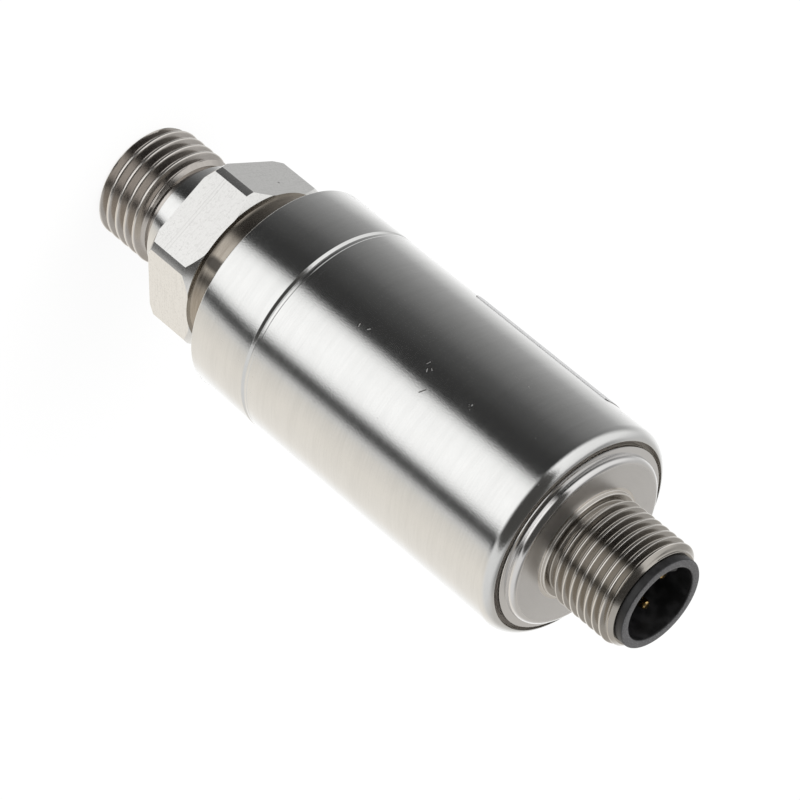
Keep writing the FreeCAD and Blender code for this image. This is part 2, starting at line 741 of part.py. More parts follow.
def component(t, name, side, across, up, width, length, thickness):
    """A box on the front (-Y) or back (+Y) face of the main board."""
    box = t.doc.addObject("Part::Box", name)
    face = "#board_thickness / 2" if side > 0 else f"-#board_thickness / 2 - ({thickness})"
    t.bind(box, Length=width, Width=thickness, Height=length,
           Placement__Base__x=f"{across} - {width} / 2", Placement__Base__y=face,
           Placement__Base__z=f"@board_foot + {up} - {length} / 2")
    return box


def make_rating_label(t):
    """The blank name plate: a film bonded round part of the sleeve, cut from a thicker blank."""
    body = t.body("rating_label")
    wall = "#body_diameter / 2"
    sweep = f"#label_width / ({wall}) * 180 / pi"
    t.bind(body, Placement__Rotation__Angle=f"#label_clock_angle - {sweep} / 2")
    blank = f"{wall} + #label_blank"
    t.turned(body, "Blank", [
        (wall, "@label_start"),
        (blank, "@label_start"),
        (blank, "@label_start + #label_length"),
        (wall, "@label_start + #label_length"),
    ], angle=sweep)
    corners = [f"Edge{number}" for number, edge in enumerate(body.Shape.Edges, start=1)
               if isinstance(edge.Curve, Part.Line) and edge.Length < 2 * SIZES["label_blank"]]
    t.rounded(body, "Corners", corners, "#label_corner")
    film = f"{wall} + #label_thickness"
    t.turned(body, "Trim", [
        (film, "@label_start - #label_blank"),
        (f"{blank} + #label_blank", "@label_start - #label_blank"),
        (f"{blank} + #label_blank", "@label_start + #label_length + #label_blank"),
        (film, "@label_start + #label_length + #label_blank"),
    ], kind="Groove")


def check(t):
    """Stop when an object failed or a sub-part isn't a valid solid."""
    for item in t.doc.Objects:
        failed = {"Invalid", "Error"} & set(item.State)
        if failed:
            raise RuntimeError(f"{item.Label}: {sorted(failed)}")
    for piece in t.parts:
        shape = piece.Shape
        if shape.isNull() or not shape.isValid() or not shape.Solids:
            raise RuntimeError(f"{piece.Label}: no valid solid")


def export(t):
    """Write each sub-part to its own STEP file."""
    os.makedirs("parts", exist_ok=True)
    for piece in t.parts:
        piece.Shape.exportStep(os.path.join("parts", piece.Label + ".step"))
        box = piece.Shape.BoundBox
        print(f"{piece.Label}: {len(piece.Shape.Solids)} solid, {piece.Shape.Volume:.2f} mm3, "
              f"z {box.ZMin:.2f} to {box.ZMax:.2f}")


def main():
    t = Transmitter()
    make_process_connection(t)
    make_measuring_cell(t)
    make_housing_sleeve(t)
    make_connector_cap(t)
    make_connector_insert(t)
    make_contacts(t)
    make_boards(t)
    make_components(t)
    make_rating_label(t)
    t.doc.recompute()
    check(t)
    export(t)


main()
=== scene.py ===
"""Looks of a pressure transmitter: turned steel with real helical threads, a brushed housing
tube, a black connector insert with gold contacts, and the light tent they stand in.

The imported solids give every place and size. Lengths in the dataclasses are millimetres, measured
up from the port's tip; meshes are made in metres.
"""

import logging
import math
from dataclasses import dataclass, field
from enum import Enum
from typing import Callable, ClassVar, Iterable, Sequence, Union

import bmesh
import bpy
from mathutils import Matrix, Vector


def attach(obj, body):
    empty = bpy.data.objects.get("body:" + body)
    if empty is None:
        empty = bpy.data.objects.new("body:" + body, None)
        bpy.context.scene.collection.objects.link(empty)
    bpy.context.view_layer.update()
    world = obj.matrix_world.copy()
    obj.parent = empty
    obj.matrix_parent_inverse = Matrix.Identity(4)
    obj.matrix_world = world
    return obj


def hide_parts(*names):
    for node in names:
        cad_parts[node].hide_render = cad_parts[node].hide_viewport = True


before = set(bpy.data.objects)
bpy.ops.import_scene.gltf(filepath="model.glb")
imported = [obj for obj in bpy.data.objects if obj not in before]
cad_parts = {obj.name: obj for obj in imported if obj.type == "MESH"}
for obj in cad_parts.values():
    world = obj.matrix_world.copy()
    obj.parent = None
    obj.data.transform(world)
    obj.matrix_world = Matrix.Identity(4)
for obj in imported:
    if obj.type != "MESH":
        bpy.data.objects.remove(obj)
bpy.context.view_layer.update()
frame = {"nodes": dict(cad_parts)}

MM = 0.001
DEGREE = math.pi / 180.0
BODY = 12.0  # radius of the shoulder, the housing and their finish's marks
LOG = logging.getLogger("pressure_transmitter")

Point = tuple[float, float]
Colour = tuple[float, float, float]
Spot = tuple[float, float, float]
Socket = bpy.types.NodeSocket
Number = Union[float, "Signal"]


def placed(name: str, data: bpy.types.ID) -> bpy.types.Object:
    """Make an object of some data and link it to the scene."""
    thing = bpy.data.objects.new(name, data)
    bpy.context.scene.collection.objects.link(thing)
    return thing


# Shader maths


class Signal:
    """A number carried by a node socket, open to arithmetic."""

    def __init__(self, recipe: "Recipe", socket: Socket) -> None:
        """Wrap an output socket of a recipe's node tree."""
        self.recipe = recipe
        self.socket = socket

    def maths(self, operation: str, *others: Number) -> "Signal":
        """Run a Math node on this signal and up to two other values."""
        node = self.recipe.node(
            "Math", {"operation": operation}, dict(enumerate((self, *others))))
        return Signal(self.recipe, node.outputs[0])

    def __add__(self, other: Number) -> "Signal":
        """Add a number or signal."""
        return self.maths("ADD", other)

    __radd__ = __add__

    def __sub__(self, other: Number) -> "Signal":
        """Subtract a number or signal."""
        return self.maths("SUBTRACT", other)

    def __rsub__(self, other: Number) -> "Signal":
        """Subtract this signal from a number."""
        return self.maths("MULTIPLY", -1.0) + other

    def __mul__(self, other: Number) -> "Signal":
        """Multiply by a number or signal."""
        return self.maths("MULTIPLY", other)

    __rmul__ = __mul__

    def __truediv__(self, other: Number) -> "Signal":
        """Divide by a number or signal."""
        return self.maths("DIVIDE", other)

    def __abs__(self) -> "Signal":
        """The size of the signal without its sign."""
        return self.maths("ABSOLUTE")

    def step(self, low: float, high: float) -> "Signal":
        """Rise smoothly from 0 at the low value to 1 at the high one, which may lie below it."""
        node = self.recipe.node(
            "MapRange", {"interpolation_type": "SMOOTHSTEP"},
            {"Value": self, "From Min": low, "From Max": high})
        return Signal(self.recipe, node.outputs["Result"])


class Recipe:
    """Builds the node tree of a material or of the world."""

    def __init__(self, tree: bpy.types.NodeTree) -> None:
        """Empty the tree that the recipe fills."""
        tree.nodes.clear()
        self.tree = tree

    def node(self, kind: str, settings: dict | None = None,
             sockets: dict | None = None) -> bpy.types.Node:
        """Add one node.

        Args:
            kind: The node's type, without ShaderNode before it.
            settings: Its own settings, set first; "stops" fills a ramp with (place, colour).
            sockets: The value or link of each input socket, by name or number.

        Returns:
            The new node.
        """
        node = self.tree.nodes.new("ShaderNode" + kind)
        for name, setting in (settings or {}).items():
            if name == "stops":
                self._fill_ramp(node.color_ramp, setting)
            else:
                setattr(node, name, setting)
        for key, value in (sockets or {}).items():
            if isinstance(value, Signal):
                value = value.socket
            if isinstance(value, Socket):
                self.tree.links.new(value, node.inputs[key])
            else:
                node.inputs[key].default_value = value
        return node

    @staticmethod
    def _fill_ramp(ramp: bpy.types.ColorRamp, stops: Sequence[tuple[float, Colour]]) -> None:
        """Give a ramp its stops.

        Args:
            ramp: The colour ramp.
            stops: Places and colours, in rising order.
        """
        while len(ramp.elements) > 1:
            ramp.elements.remove(ramp.elements[-1])
        ramp.elements[0].position = stops[0][0]
        ramp.elements[0].color = (*stops[0][1], 1.0)
        for place, colour in stops[1:]:
            ramp.elements.new(place).color = (*colour, 1.0)

    def signal(self, socket: Socket) -> Signal:
        """Wrap an output socket for arithmetic."""
        return Signal(self, socket)

    def blend(self, factor: Number, first: object, second: object) -> Socket:
        """Mix two colours or their sockets; a factor of 0 gives the first and 1 the second."""
        first, second = ((*value, 1.0) if isinstance(value, tuple) else value
                         for value in (first, second))
        return self.node("Mix", {"data_type": "RGBA"},
                         {0: factor, 6: first, 7: second}).outputs[2]

    def vector(self, x: Number, y: Number, z: Number) -> Socket:
        """Join three numbers to a vector."""
        return self.node("CombineXYZ", None, {0: x, 1: y, 2: z}).outputs[0]

    def noise(self, place: Socket, scale: float, detail: float = 2.0,
              roughness: float = 0.5) -> Signal:
        """Smooth noise about 0.5, with scale lumps to a unit and detail finer layers."""
        node = self.node("TexNoise", None, {
            "Vector": place, "Scale": scale, "Detail": detail, "Roughness": roughness})
        return self.signal(node.outputs[0])

    def surface(self, colour: Socket, roughness: Number, relief: Number,
                metallic: float = 1.0) -> Socket:
        """Make a surface shader with fine relief.

        Args:
            colour: The surface's colour.
            roughness: Its roughness.
            relief: The height of its relief in millimetres.
            metallic: 1 for metal and 0 for anything else.

        Returns:
            The shader's socket.
        """
        bump = self.node("Bump", None,
                         {"Strength": 1.0, "Distance": MM, "Height": relief})
        shader = self.node("BsdfPrincipled", None, {
            "Base Color": colour, "Metallic": metallic, "Roughness": roughness,
            "Normal": bump.outputs[0]})
        return shader.outputs[0]


# Finishes


class Place:
    """Where a shaded point lies on the part, in millimetres and about its axis."""

    def __init__(self, recipe: Recipe) -> None:
        """Measure the point in the part's own frame.

        Args:
            recipe: The material's builder.
        """
        coordinates = recipe.node("TexCoord").outputs["Object"]
        scaled = recipe.node("VectorMath", {"operation": "SCALE"},
                             {0: coordinates, "Scale": 1.0 / MM})
        self.point = scaled.outputs[0]
        parts = recipe.node("SeparateXYZ", None, {0: self.point})
        self.recipe = recipe
        self.x, self.y, self.height = (recipe.signal(socket) for socket in parts.outputs)
        self.radius = (self.x * self.x + self.y * self.y).maths("SQRT") + 1e-4

    def turned(self, across: float, around: float) -> Socket:
        """A place stretched round the axis: across marks to a millimetre, around to a radian."""
        return self.recipe.vector(self.x / self.radius * around, self.y / self.radius * around,
                                  (self.height + self.radius) * across)

    def angle(self) -> Signal:
        """The clock angle about the axis in degrees, 0 on -Y and rising towards +X."""
        return self.x.maths("ARCTAN2", self.y * -1.0) / DEGREE


@dataclass(frozen=True)
class WallMark:
    """A short mark on a turned wall: a scratch, a fleck, or a band of painted shade.

    Attributes:
        angle: Its clock angle in degrees.
        height: Its height in millimetres.
        length: Its length in millimetres.
        lean: How far it leans from the way round towards the axis, in degrees.
        width: Its width in millimetres.
    """

    angle: float
    height: float
    length: float
    lean: float = 0.0
    width: float = 0.08

    def mask(self, place: Place, radius: float) -> Signal:
        """Where the mark is.

        Args:
            place: The shaded point.
            radius: The wall's radius in millimetres.

        Returns:
            1 on the mark and 0 off it.
        """
        across = (place.angle() - self.angle) * (DEGREE * radius)
        up = place.height - self.height
        turn = math.radians(self.lean)
        along = across * math.cos(turn) + up * math.sin(turn)
        beside = across * -math.sin(turn) + up * math.cos(turn)
        beyond = (abs(along) - self.length / 2.0).maths("MAXIMUM", 0.0)
        distance = (beyond * beyond + beside * beside).maths("SQRT")
        return distance.step(self.width, self.width * 0.35)


@dataclass(frozen=True)
class Finish:
    """A finish that makes its own material once.

    Attributes:
        name: The material's name.
        colour: Its main colour.
        second: Its colour in marks, flecks or thin patches.
        roughness: Its roughness.
    """

    made: ClassVar[dict[str, bpy.types.Material]] = {}

    name: str
    colour: Colour
    second: Colour
    roughness: float

    def material(self) -> bpy.types.Material:
        """The finish's material, made on first use."""
        if self.name not in Finish.made:
            material = bpy.data.materials.new(self.name)
            material.use_nodes = True
            recipe = Recipe(material.node_tree)
            shader = self.shade(recipe)
            recipe.node("OutputMaterial", None, {"Surface": shader})
            Finish.made[self.name] = material
        return Finish.made[self.name]

    def shade(self, recipe: Recipe) -> Socket:
        """Build the surface shader; each kind of finish has its own."""
        raise NotImplementedError


@dataclass(frozen=True)
class TurnedSteel(Finish):
    """Stainless steel with marks that run round the axis.

    Attributes:
        marks: Marks to a millimetre.
        depth: Depth of the marks in millimetres.
        grain: Strength of the fine isotropic grain.
        contrast: How far the marks take on their own colour, from 0 to 1.
        nicks_and_shade: Single dark marks: real scratches, and on the neck a band of painted
            shade.
        dust: Single pale flecks.
        wall: Radius of the wall that carries the dark marks and the dust.
        crests: Radius above which the crests get a painted highlight, a paler colour.
    """

    # Colour of the dark marks: scratches, and painted shade on the neck.
    nick_and_shade_colour: ClassVar[Colour] = (0.07, 0.065, 0.06)
    dusty: ClassVar[Colour] = (0.95, 0.94, 0.92)
    # Colour of the painted highlight on thread crests.
    crest_highlight: ClassVar[Colour] = (0.72, 0.69, 0.65)

    marks: float
    depth: float
    grain: float = 0.3
    contrast: float = 1.0
    nicks_and_shade: tuple[WallMark, ...] = ()
    dust: tuple[WallMark, ...] = ()
    wall: float = BODY
    crests: float = 1000.0

    def shade(self, recipe: Recipe) -> Socket:
        """Build the steel.

        Args:
            recipe: The material's builder.

        Returns:
            The shader's socket.
        """
        place = Place(recipe)
        fine = recipe.noise(place.turned(self.marks, 3.0), 1.0, 3.0, 0.7)
        broad = recipe.noise(place.turned(self.marks * 0.16, 1.1), 1.0, 2.0, 0.5)
        cloud = recipe.noise(place.point, 0.28, 3.0, 0.6)
        grit = recipe.noise(place.point, 5.5, 2.0, 0.8)
        specks = recipe.noise(place.point, 2.6, 1.0, 0.5).step(0.72, 0.78) * cloud.step(0.5, 0.6)
        tone = (fine * 0.55 + broad * 0.45).step(0.34, 0.62)
        colour = recipe.blend((1.0 - tone) * self.contrast, self.colour, self.second)
        colour = recipe.blend(cloud.step(0.42, 0.72) * 0.12, colour, self.second)
        colour = recipe.blend(grit.step(0.4, 0.66) * 0.15, colour, self.second)
        # Painted highlight: the thread's crests are painted paler, standing in for the light they
        # catch.
        bright = place.radius.step(self.crests - 0.03, self.crests + 0.02)
        colour = recipe.blend(bright * 0.75, colour, self.crest_highlight)
        roughness = (self.roughness + (fine - 0.5) * 0.08 + (cloud - 0.5) * 0.06
                     + specks * 0.15)
        relief = (fine * self.depth + broad * (self.depth * 1.5)
                  + grit * (self.depth * self.grain))
        # Dark marks: real scratches, and on the neck a wide band of painted shade over its
        # reflection.
        for dark_mark in self.nicks_and_shade:
            nick_and_shade_mask = dark_mark.mask(place, self.wall)
            colour = recipe.blend(nick_and_shade_mask * 0.8, colour, self.nick_and_shade_colour)
            roughness = roughness + nick_and_shade_mask * 0.3
        for fleck in self.dust:
            mark = fleck.mask(place, self.wall)
            colour = recipe.blend(mark * 0.35, colour, self.dusty)
            roughness = roughness + mark * 0.4
        return recipe.surface(colour, roughness, relief)


@dataclass(frozen=True)
class MilledSteel(Finish):
    """Stainless steel of the hexagon: flats milled across, with the cutter's faint lines.

    Attributes:
        pit: Where one flat has a small dark pit, in millimetres.
        scores: (height, half width) of the two lines scored across the front flat.
        score_reach: Clock angle at which the scored lines end, in degrees.
    """

    pitted: ClassVar[Colour] = (0.08, 0.075, 0.07)

    pit: Spot = (-8.06, -4.04, 15.19)
    scores: tuple[Point, Point] = ((13.25, 0.10), (13.62, 0.09))
    score_reach: float = 30.0

    def shade(self, recipe: Recipe) -> Socket:
        """Build the milled steel.

        Args:
            recipe: The material's builder.

        Returns:
            The shader's socket.
        """
        place = Place(recipe)
        lines = recipe.noise(recipe.vector(place.x * 0.35, place.y * 0.35, place.height * 7.0),
                             1.0, 3.0, 0.75)
        specks = recipe.noise(place.point, 4.5, 2.0, 0.7)
        low, high = (abs(place.height - height).step(width, 0.03)
                     for height, width in self.scores)
        scored = ((low + high).maths("MINIMUM", 1.0)
                  * abs(place.angle()).step(self.score_reach, self.score_reach - 3.0))
        colour = recipe.blend(lines.step(0.5, 0.3) * 0.35, self.colour, self.second)
        colour = recipe.blend(specks.step(0.5, 0.72) * 0.45, colour, self.second)
        colour = recipe.blend(scored * 0.3, colour, self.second)
        away = recipe.node("VectorMath", {"operation": "DISTANCE"},
                           {0: place.point, 1: self.pit})
        colour = recipe.blend(recipe.signal(away.outputs["Value"]).step(0.17, 0.08) * 0.8,
                              colour, self.pitted)
        return recipe.surface(colour, self.roughness + (lines - 0.5) * 0.08,
                              lines * 0.0006 + specks * 0.0018 - scored * 0.002)


@dataclass(frozen=True)
class Moulding(Finish):
    """A moulded or cast non-metal: plastic, rubber, resin or ceramic.

    Attributes:
        lumps: Surface lumps to a millimetre.
        depth: Height of the lumps in millimetres.
        flecks: How much of the surface the flecks cover, from 0 to 1.
        painted_light_above: Height in millimetres above which the surface is painted paler, as
            painted light on the face that catches it.
    """

    lumps: float = 6.0
    depth: float = 0.006
    flecks: float = 0.1
    painted_light_above: float = 1000.0

    def shade(self, recipe: Recipe) -> Socket:
        """Build the moulding.

        Args:
            recipe: The material's builder.

        Returns:
            The shader's socket.
        """
        place = Place(recipe)
        lump = recipe.noise(place.point, self.lumps, 3.0, 0.6)
        cloud = recipe.noise(place.point, self.lumps * 0.13, 2.0, 0.5)
        edge = 0.78 - 0.35 * self.flecks
        colour = recipe.blend(lump.step(edge, edge + 0.05), self.colour, self.second)
        colour = recipe.blend(cloud.step(0.35, 0.75) * 0.12, colour, self.second)
        # Painted light: above this height the socket's mouth face is painted paler, broken up by
        # the lumps.
        painted_light = place.height.step(self.painted_light_above, self.painted_light_above + 0.06)
        colour = recipe.blend(painted_light * (lump.step(0.4, 0.68) * 0.6 + 0.4), colour, self.second)
        return recipe.surface(colour, self.roughness + (cloud - 0.5) * 0.2,
                              lump * self.depth, 0.0)


@dataclass(frozen=True)
class Plating(Finish):
    """A thin bright metal layer with slight unevenness.

    Attributes:
        unevenness: How far the roughness changes from patch to patch.
    """

    unevenness: float = 0.2

    def shade(self, recipe: Recipe) -> Socket:
        """Build the plating.

        Args:
            recipe: The material's builder.

        Returns:
            The shader's socket.
        """
        place = Place(recipe)
        patch = recipe.noise(place.point, 1.7, 3.0, 0.6)
        drawn = recipe.noise(recipe.vector(place.x * 5.0, place.y * 5.0, place.height * 0.5),
                             1.0, 2.0, 0.6)
        return recipe.surface(recipe.blend(patch.step(0.4, 0.7), self.colour, self.second),
                              self.roughness + (patch - 0.5) * self.unevenness,
                              drawn * 0.003)


class Choice(Enum):
    """A named choice of finish."""

    def material(self) -> bpy.types.Material:
        """The chosen finish's material."""
        return self.value.material()


class Steel(Choice):
    """The metal and film finishes."""

    PORT = TurnedSteel("port_steel", (0.49, 0.46, 0.43), (0.36, 0.335, 0.31), 0.2, 9.0,
                       0.0008, 3.0, 0.5, crests=6.5)
    HEXAGON = MilledSteel("hexagon_steel", (0.71, 0.705, 0.69), (0.52, 0.515, 0.50), 0.2)
    # The neck's colour is the turned steel's brownish tone, darkened further as painted shade for
    # the recess between hexagon and shoulder.
    NECK = TurnedSteel("neck_steel", (0.36, 0.325, 0.28), (0.24, 0.21, 0.175), 0.22, 8.0, 0.0010,
                       # This wide dark mark is painted shade: a dark band over the neck's
                       # reflection.
                       3.0, 0.8, (WallMark(17.0, 19.4, 2.5, 90.0, 1.0),), (), 8.7)
    SHOULDER = TurnedSteel("shoulder_steel", (0.67, 0.67, 0.66), (0.58, 0.58, 0.57), 0.14,
                           6.0, 0.0004, 15.0, 0.4)
    HOUSING = TurnedSteel(
        "housing_steel", (0.67, 0.67, 0.66), (0.58, 0.58, 0.57), 0.14, 6.0, 0.0004, 15.0, 0.4,
        (WallMark(-3.5, 48.04, 0.7, -31.0, 0.1),),
        (WallMark(-12.2, 46.8, 0.3, 30.0, 0.07), WallMark(-15.5, 46.3, 0.35, -20.0, 0.05),
         WallMark(-13.9, 47.1, 0.25, 60.0, 0.05), WallMark(-8.5, 37.9, 0.35, 20.0, 0.05),
         WallMark(-9.8, 39.0, 0.3, -40.0, 0.05), WallMark(-12.9, 53.0, 0.15, 0.0, 0.07),
         WallMark(-39.1, 55.05, 0.15, 0.0, 0.06)))
    CAP = TurnedSteel("cap_steel", (0.665, 0.655, 0.645), (0.58, 0.57, 0.56), 0.13, 10.0, 0.0003,
                      5.0, 0.2)
    STUB = TurnedSteel("stub_steel", (0.41, 0.385, 0.35), (0.31, 0.29, 0.265), 0.19, 9.0, 0.0004,
                       6.0, 0.4, crests=5.95)
    PLATE = TurnedSteel("plate_steel", (0.665, 0.655, 0.645), (0.58, 0.57, 0.56), 0.34, 10.0,
                        0.0003, 5.0, 0.2)
    GAP = TurnedSteel("gap_steel", (0.62, 0.59, 0.55), (0.5, 0.47, 0.44), 0.7, 9.0, 0.001,
                      3.0, 0.4)
    FILM = Plating("label_film", (0.66, 0.66, 0.66), (0.635, 0.635, 0.64), 0.36, 0.04)
    CLIP = Plating("spring_steel", (0.42, 0.42, 0.44), (0.25, 0.24, 0.24), 0.3)
    CONTACT = Plating("gold_plating", (0.60, 0.41, 0.17), (0.42, 0.29, 0.13), 0.25)


class Mould(Choice):
    """The non-metal finishes."""

    # Its mouth face above 75.9 mm is painted paler, as painted light.
    INSERT = Moulding("black_polyamide", (0.004, 0.004, 0.0045), (0.12, 0.12, 0.125), 0.5,
                      7.0, 0.010, 0.1, 75.9)
    SEAL = Moulding("seal_rubber", (0.014, 0.014, 0.014), (0.04, 0.04, 0.04), 0.6)
    CERAMIC = Moulding("alumina_ceramic", (0.82, 0.80, 0.76), (0.70, 0.68, 0.64), 0.4)
    LAMINATE = Moulding("board_laminate", (0.02, 0.16, 0.06), (0.03, 0.22, 0.09), 0.35, 3.0)
    HOLDER = Moulding("holder_plastic", (0.62, 0.60, 0.55), (0.5, 0.48, 0.44), 0.5)
    FLEX = Moulding("polyimide_film", (0.55, 0.22, 0.03), (0.65, 0.30, 0.05), 0.25)
    CHIP = Moulding("chip_resin", (0.02, 0.02, 0.022), (0.05, 0.05, 0.05), 0.5)
    TANTALUM = Moulding("capacitor_resin", (0.62, 0.32, 0.05), (0.5, 0.24, 0.03), 0.4)
    CHIP_CERAMIC = Moulding("capacitor_ceramic", (0.42, 0.30, 0.20), (0.5, 0.38, 0.27), 0.45)


# Turned meshes


class Form(Enum):
    """Cross-sections of a screw thread.

    Each has half widths, as shares of half a pitch: of the crest's flat, of the root's flat,
    and of the rounding at crest and root.
    """

    WHITWORTH = (0.17, 0.17, 0.13, 0.15)
    METRIC = (0.13, 0.22, 0.035, 0.16)


@dataclass(frozen=True)
class ScrewThread:
    """A right-hand external thread.

    Attributes:
        form: Its cross-section.
        major: Radius at the crests.
        minor: Radius at the roots.
        pitch: Distance from crest to crest.
        low: Height where the cut threads begin.
        high: Height where they end.
        crest: Height of one crest at the clock angle.
        clock: The clock angle of that crest in degrees, 0 on -Y and rising towards +X.
        envelope: (height, radius) points of the blank that the thread is cut in.
    """

    form: Form
    major: float
    minor: float
    pitch: float
    low: float
    high: float
    crest: float
    clock: float
    envelope: tuple[Point, ...]

    def rows(self) -> list[float]:
        """Place the mesh rows within one pitch.

        Returns:
            Shares of the pitch, from one crest's middle to the next.
        """
        crest, root, near, far = self.form.value
        half = [0.0, crest - near, crest - near / 3, crest + near / 3, crest + near]
        half += [0.42, 0.55, 1 - root - far, 1 - root - far / 3, 1 - root + far / 3]
        half += [min(1 - root + far, 0.96)]
        half = sorted(set(round(value, 4) for value in half))
        return [value / 2 for value in half] + [1 - value / 2 for value in reversed(half)
                                                if value > 0]

    def drop(self, share: float) -> float:
        """How deep the thread is cut at a place within one pitch.

        Args:
            share: The place, 0 and 1 on a crest's middle.

        Returns:
            The depth as a share of the thread's height.
        """
        crest, root, near, far = self.form.value
        across = abs((share + 0.5) % 1.0 - 0.5) * 2
        slope = 1 / (1 - crest - root)

        def eased(value: float, corner: float, reach: float) -> float:
            """A straight ramp that starts at a corner, eased over a reach each side."""
            beyond = min(max(value - corner + reach, 0.0), 2 * reach)
            return (beyond ** 2 / (4 * reach) + max(value - corner - reach, 0.0)) * slope

        fall = eased(across, crest, near) - eased(across, 1 - root, far)
        return min(max(fall, 0.0), 1.0)

    def radius(self, height: float, angle: float) -> float:
        """Radius of the cut thread.

        Args:
            height: Height in millimetres.
            angle: Clock angle in radians.

        Returns:
            The radius in millimetres.
        """
        turned = (angle - math.radians(self.clock)) / (2 * math.pi)
        share = ((height - self.crest) / self.pitch - turned) % 1.0
        cut = self.major - (self.major - self.minor) * self.drop(share)
        return min(cut, self.blank(height))

    def blank(self, height: float) -> float:
        """Read the blank's radius off the envelope.

        Args:
            height: Height in millimetres.

        Returns:
            The radius in millimetres.
        """
        points = self.envelope
        if height <= points[0][0]:
            return points[0][1]
        for (low, near), (high, far) in zip(points, points[1:]):
            if height <= high:
                return near + (far - near) * (height - low) / (high - low)
        return points[-1][1]

    def heights(self, angle: float) -> list[float]:
        """Row heights at one clock angle, held between the ends of the thread.

        Args:
            angle: Clock angle in radians.

        Returns:
            Heights in millimetres, as many at every angle.
        """
        start = self.crest + self.pitch * (angle - math.radians(self.clock)) / (2 * math.pi)
        turns_below = math.ceil((self.crest + self.pitch - self.low) / self.pitch) + 1
        turns_above = math.ceil((self.high - self.crest + self.pitch) / self.pitch) + 1
        rows = self.rows()
        values = [start + (turn + place) * self.pitch
                  for turn in range(-turns_below, turns_above) for place in rows]
        return [min(max(value, self.low), self.high) for value in values]


class Turning:
    """Collects turned, threaded and flat-sided walls into one mesh."""

    def __init__(self, name: str, angles: Sequence[float]) -> None:
        """Start an empty mesh.

        Args:
            name: The piece's name.
            angles: Clock angles of the columns in radians, from 0 up to and with 2 pi.
        """
        self.name = name
        self.angles = list(angles)
        self.mesh = bmesh.new()

    @staticmethod
    def even(count: int, *extra: float) -> list[float]:
        """Evenly spaced clock angles, with extra ones for edges that run along the axis.

        Args:
            count: How many even steps make a turn.
            extra: Extra clock angles in degrees.

        Returns:
            Clock angles in radians, from 0 to a full turn.
        """
        step = 2 * math.pi / count
        wanted = [math.radians(angle % 360) for angle in extra]
        spaced = [index * step for index in range(1, count)]
        kept = [angle for angle in spaced
                if all(abs(angle - other) > step * 0.4 for other in wanted)]
        return sorted({0.0, 2 * math.pi, *kept, *wanted})

    @staticmethod
    def at(radius: float, angle: float, height: float) -> Vector:
        """A point in metres from radius, clock angle and height in millimetres."""
        return Vector((radius * math.sin(angle), -radius * math.cos(angle), height)) * MM

    def wall(self, column: Callable[[float], Sequence[Point]], material: int = 0) -> None:
        """Add a wall from one column of (radius, height) points per clock angle.

        Args:
            column: Gives the points at a clock angle; as many at every angle.
            material: Number of the material slot.
        """
        previous: list[bmesh.types.BMVert] = []
        for angle in self.angles:
            current = [self.mesh.verts.new(self.at(radius, angle, height))
                       for radius, height in column(angle)]
            for low, high, next_low, next_high in zip(previous, previous[1:],
                                                      current, current[1:]):
                face = self.mesh.faces.new((low, next_low, next_high, high))
                face.material_index = material
            previous = current

    def turned(self, outline: Sequence[Point], material: int = 0) -> None:
        """Add a wall with the same outline all round."""
        self.wall(lambda angle: outline, material)

    def threaded(self, thread: ScrewThread, material: int = 0) -> None:
        """Add a helical thread."""
        self.wall(lambda angle: [(thread.radius(height, angle), height)
                                 for height in thread.heights(angle)], material)

    def loft(self, rings: Sequence[Sequence[Spot]]) -> None:
        """Join closed rings of points into a wall with both ends capped.

        Args:
            rings: Rings of as many (x, y, z) points in millimetres.
        """
        layers = [[self.mesh.verts.new(Vector(point) * MM) for point in ring]
                  for ring in rings]
        for ring, following in zip(layers, layers[1:]):
            for index in range(len(ring)):
                other = (index + 1) % len(ring)
                self.mesh.faces.new((ring[index], following[index], following[other],
                                     ring[other]))
        self.mesh.faces.new(layers[0])
        self.mesh.faces.new(list(reversed(layers[-1])))

    def finish(self, node: str, slot: str, finishes: Iterable[Choice],
               crease: float = 32.0) -> bpy.types.Object:
        """Join the walls, shade them, and let the piece show in place of a node.

        Args:
            node: The node that the piece stands for.
            slot: The record's material slot for the piece's finish; not used.
            finishes: The piece's finishes, in the order of the walls' slot numbers.
            crease: Edges sharper than this, in degrees, stay sharp.

        Returns:
            The finished piece.
        """
        bmesh.ops.remove_doubles(self.mesh, verts=self.mesh.verts, dist=2e-7)
        bmesh.ops.dissolve_degenerate(self.mesh, dist=1e-8, edges=self.mesh.edges)
        bmesh.ops.recalc_face_normals(self.mesh, faces=self.mesh.faces)
        data = bpy.data.meshes.new(self.name)
        self.mesh.to_mesh(data)
        self.mesh.free()
        for finish in finishes:
            data.materials.append(finish.material())
        data.polygons.foreach_set("use_smooth", [True] * len(data.polygons))
        data.set_sharp_from_angle(angle=math.radians(crease))
        piece = placed(self.name, data)
        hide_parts(node)
        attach(piece, "root")
        LOG.info("%s: %d faces, stands for %s", piece.name, len(piece.data.polygons), node)
        return piece


def eased(outline: Sequence[Point], reach: float, steps: int = 2) -> list[Point]:
    """Round the inner corners of an outline, as a turned edge is broken.

    Args:
        outline: (radius, height) points in millimetres.
        reach: How far from each corner the rounding starts.
        steps: Segments of each rounding.

    Returns:
        The outline with its corners rounded.
    """
    result = [outline[0]]
    for before, corner, after in zip(outline, outline[1:], outline[2:]):
        here = Vector(corner)
        into, out = Vector(before) - here, Vector(after) - here
        near = min(reach, into.length * 0.4, out.length * 0.4)
        first, last = here + into.normalized() * near, here + out.normalized() * near
        for index in range(steps + 1):
            share = index / steps
            point = (first * (1 - share) ** 2 + here * (2 * share * (1 - share))
                     + last * share ** 2)
            result.append((point.x, point.y))
    result.append(outline[-1])
    return result


